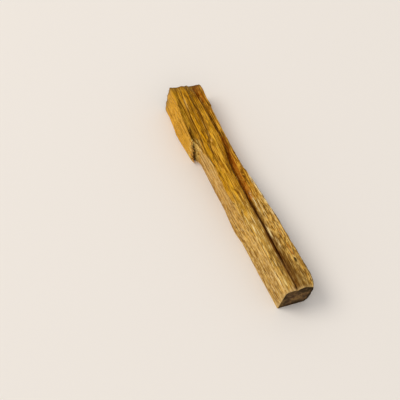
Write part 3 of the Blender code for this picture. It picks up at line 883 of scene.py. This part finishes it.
# How deep each point lies among its neighbours is kept for the material, which paints shade in
# hollows and a highlight on what stands up
place = node(relief, "GeometryNodeInputPosition")
around = node(relief, "GeometryNodeBlurAttribute", {"Value": place, "Iterations": HOLLOW_REACH},
              data_type="FLOAT_VECTOR")
sunk = node(relief, "ShaderNodeVectorMath", {0: around, 1: place}, operation="SUBTRACT")
sunk = node(relief, "ShaderNodeVectorMath", {0: sunk, 1: node(relief, "GeometryNodeInputNormal")},
            operation="DOT_PRODUCT", out=1)
sunk = node(relief, "ShaderNodeMath", {0: sunk, 1: 1.0 / HOLLOW_UNIT}, operation="MULTIPLY")
kept = node(relief, "GeometryNodeStoreNamedAttribute",
            {"Geometry": carved, "Name": "hollow", "Value": sunk}, data_type="FLOAT", domain="POINT")

# So is the broken face of the lath, which looks along the grain, away from the lamp: the material
# paints shade on it
facing_x = node(relief, "ShaderNodeSeparateXYZ", {0: node(relief, "GeometryNodeInputNormal")})
broken = node(relief, "ShaderNodeMapRange", {0: facing_x, 1: BROKEN_FACING[0], 2: BROKEN_FACING[1]})
broken = node(relief, "ShaderNodeMath", {0: broken, 1: mark["torn"]}, operation="MULTIPLY")
kept = node(relief, "GeometryNodeStoreNamedAttribute",
            {"Geometry": kept, "Name": "broken", "Value": broken}, data_type="FLOAT", domain="POINT")
end_tree(relief, kept, wood)

stick.data = baked(stick, relief, RELIEF)
stick.data.set_sharp_from_angle(angle=SHARP_ANGLE)
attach(stick, "root")
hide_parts("palo_santo_stick")

# The torn end of the lath
#
# Where the lath broke off, its fibres tore one by one. Fine pale needles of wood still stick out
# of the break along the grain, with a few longer splinters among them.

TEAR = {"Fibre length": 2.6 * MM, "Fibre thickness": 0.16 * MM, "Fibres per square metre": 2.4e6,
        "Rooted by": 0.35 * MM, "Seed": 5.0}

# They stand on faces that look this much along the grain and lean between these two ways. The
# smallest has this share of the full size
TORN_FACING = 0.3
LEAN_LEAST = (1.0, -0.35, -0.45)
LEAN_MOST = (1.0, 0.35, 0.25)
FIBRE_LEAST = 0.4
FIBRE_SIZE_SEED = 11
FIBRE_SIDES = 5

# The longer splinters: x, y, z points in millimetres from root to tip, and thickness and height
# at the root
SPLINTER_SIDES = 8
SPLINTERS = (
    ([(-25.5, -8.1, 1.4), (-23.6, -8.2, 1.3), (-22.3, -8.3, 1.1), (-20.8, -8.3, 0.9)], (0.5, 1.7)),
    ([(-25.5, -8.3, 3.6), (-24.0, -8.35, 3.5), (-22.9, -8.4, 3.3), (-21.4, -8.4, 3.0)], (0.5, 1.5)),
    ([(-25.5, -8.3, 5.7), (-24.2, -8.3, 5.6), (-23.2, -8.3, 5.5), (-21.9, -8.25, 5.2)], (0.5, 1.6)),
    ([(-25.5, -7.8, 7.6), (-24.4, -7.85, 7.5), (-23.4, -7.9, 7.4), (-22.2, -7.9, 7.2)], (0.45, 1.2)),
    ([(-25.5, -7.6, 8.9), (-24.6, -7.65, 8.9), (-23.6, -7.7, 8.8), (-22.6, -7.6, 8.7)], (0.4, 0.8)),
    ([(-19.2, -6.3, 1.4), (-20.6, -7.0, 1.3), (-21.7, -7.9, 0.6)], (0.26, 0.26)),
)

# Torn palo santo fibres: dry wood that no oil has reached, so paler than the split faces and
# quite matt. Their grain is as coarse as it needs to be to show
TORN_BASE = "D8982C"
TORN_SHADES = (
    ("F0C464", "threads", 0.50, 0.60, "all", 0.8),
    ("8E5C14", "threads", 0.46, 0.36, "all", 0.8),
)
TORN_GRAIN = (6.0, 0.34)
TORN_ROUGHNESS = 0.7
torn_wood = bpy.data.materials.new("palo_santo_torn_fibres")
torn_wood.use_nodes = True
tree = torn_wood.node_tree
place = node(tree, "ShaderNodeTexCoord", out=3)
pattern = {"threads": grain(tree, place, TORN_GRAIN[0] * MM, TORN_GRAIN[1] * MM, 1.0, 1.0)}
tone = laid_over(tree, colour(TORN_BASE), TORN_SHADES, pattern, {"all": 1.0})
torn_surface = tree.nodes["Principled BSDF"]
tree.links.new(tone, torn_surface.inputs["Base Color"])
torn_surface.inputs["Roughness"].default_value = TORN_ROUGHNESS
torn_surface.inputs["IOR"].default_value = 1.5

tear, given = new_tree("torn_fibres", TEAR)
torn_here = node(tear, "GeometryNodeInputNamedAttribute", {"Name": "torn"}, data_type="FLOAT")
density = node(tear, "ShaderNodeMath", {0: torn_here, 1: given["Fibres per square metre"]},
               operation="MULTIPLY")
facing_x = node(tear, "ShaderNodeSeparateXYZ", {0: node(tear, "GeometryNodeInputNormal")})
bears = node(tear, "FunctionNodeCompare", {0: facing_x, 1: TORN_FACING}, data_type="FLOAT",
             operation="GREATER_THAN")
roots = node(tear, "GeometryNodeDistributePointsOnFaces",
             {"Mesh": given["Geometry"], "Selection": bears, "Density": density, "Seed": given["Seed"]})
inwards = node(tear, "ShaderNodeMath", {0: given["Rooted by"], 1: -1.0}, operation="MULTIPLY")
roots = node(tear, "GeometryNodeSetPosition",
             {"Geometry": roots, "Offset": node(tear, "ShaderNodeCombineXYZ", {0: inwards})})
lean = node(tear, "FunctionNodeRandomValue", {0: LEAN_LEAST, 1: LEAN_MOST, "Seed": given["Seed"]},
            data_type="FLOAT_VECTOR")
turned = node(tear, "FunctionNodeAlignRotationToVector", {"Vector": lean}, axis="Z")
some = node(tear, "FunctionNodeRandomValue", {2: FIBRE_LEAST, 3: 1.0, "Seed": FIBRE_SIZE_SEED},
            out=1, data_type="FLOAT")
size = node(tear, "ShaderNodeCombineXYZ", {0: given["Fibre thickness"], 1: given["Fibre thickness"],
                                           2: given["Fibre length"]})
size = node(tear, "ShaderNodeVectorMath", {0: size, "Scale": some}, operation="SCALE")
needle = node(tear, "GeometryNodeMeshCone", {"Vertices": FIBRE_SIDES, "Radius Top": 0.0,
                                             "Radius Bottom": 1.0, "Depth": 1.0})
grown = node(tear, "GeometryNodeInstanceOnPoints",
             {"Points": roots, "Instance": needle, "Rotation": turned, "Scale": size})
end_tree(tear, grown, torn_wood)
needles = bpy.data.objects.new("palo_santo_stick_torn_fibres", stick.data)
bpy.context.scene.collection.objects.link(needles)
needles.data = baked(needles, tear, TEAR)
needles.data.materials.clear()
needles.data.materials.append(torn_wood)

splinters = bmesh.new()
for points, (thickness, height) in SPLINTERS:
    previous = None
    for k, point in enumerate(points):
        taper = 1.0 - (k / len(points)) ** 2
        sides = [2 * pi * i / SPLINTER_SIDES for i in range(SPLINTER_SIDES)]
        loop = [splinters.verts.new((Vector(point) + Vector((0.0, cos(a) * thickness, sin(a) * height))
                                     * taper / 2) * MM) for a in sides]
        if previous:
            for i in range(SPLINTER_SIDES):
                j = (i + 1) % SPLINTER_SIDES
                splinters.faces.new((previous[i], previous[j], loop[j], loop[i]))
        else:
            splinters.faces.new(loop[::-1])
        previous = loop
    splinters.faces.new(previous)
bmesh.ops.recalc_face_normals(splinters, faces=splinters.faces)
splinter_mesh = bpy.data.meshes.new("palo_santo_stick_splinters")
splinters.to_mesh(splinter_mesh)
splinters.free()
splinter_mesh.materials.append(torn_wood)
long_splinters = bpy.data.objects.new("palo_santo_stick_splinters", splinter_mesh)
bpy.context.scene.collection.objects.link(long_splinters)
for piece in (needles, long_splinters):
    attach(piece, "root")

# The floor
#
# A plain pale card with a matt face, wide enough to fill the view. Its size is in metres.

FLOOR_SIZE = 6.0
card = bpy.data.materials.new("matt_card")
card.use_nodes = True
card.node_tree.nodes["Principled BSDF"].inputs["Base Color"].default_value = colour("F2EDE4")
card.node_tree.nodes["Principled BSDF"].inputs["Roughness"].default_value = 0.9
bpy.ops.mesh.primitive_plane_add(size=FLOOR_SIZE)
floor = bpy.context.object
floor.name = "floor"
floor.data.materials.append(card)

# The light
#
# One large soft lamp up to the left of the stick's far end, and a pale sky. Metres and watts.

LAMP_FROM = (-1.1, -1.24, 1.9)
LAMP_SIZE = 1.7
LAMP_POWER = 27.0
lamp = bpy.data.lights.new("window", "AREA")
lamp.shape = "DISK"
lamp.size = LAMP_SIZE
lamp.energy = LAMP_POWER
lamp.color = colour("FFF8F0")[:3]
window = bpy.data.objects.new("window", lamp)
window.location = Vector(LAMP_FROM)
window.rotation_euler = (-Vector(LAMP_FROM)).to_track_quat("-Z", "Y").to_euler()
bpy.context.scene.collection.objects.link(window)
SKY_STRENGTH = 0.74
world = bpy.data.worlds.new("pale_room")
world.use_nodes = True
world.node_tree.nodes["Background"].inputs["Color"].default_value = colour("F2F0F2")
world.node_tree.nodes["Background"].inputs["Strength"].default_value = SKY_STRENGTH
bpy.context.scene.world = world
bpy.context.scene.view_settings.view_transform = "Standard"

# The camera
#
# A long lens that looks down on the stick from beyond its near end.

AZIMUTH = radians(65.7)
ELEVATION = radians(62.0)
DISTANCE = 636.8 * MM
LOOK_AT = Vector((-3.6, -13.6, 3.7)) * MM
LENS = 150.0
SENSOR = 36.0
away = Vector((sin(AZIMUTH) * cos(ELEVATION), -cos(AZIMUTH) * cos(ELEVATION), sin(ELEVATION)))
camera = bpy.data.objects.new("camera", bpy.data.cameras.new("camera"))
camera.data.lens = LENS
camera.data.sensor_width = SENSOR
camera.location = LOOK_AT + away * DISTANCE
camera.rotation_euler = (-away).to_track_quat("-Z", "Y").to_euler()
bpy.context.scene.collection.objects.link(camera)
bpy.context.scene.camera = camera

bpy.context.view_layer.update()
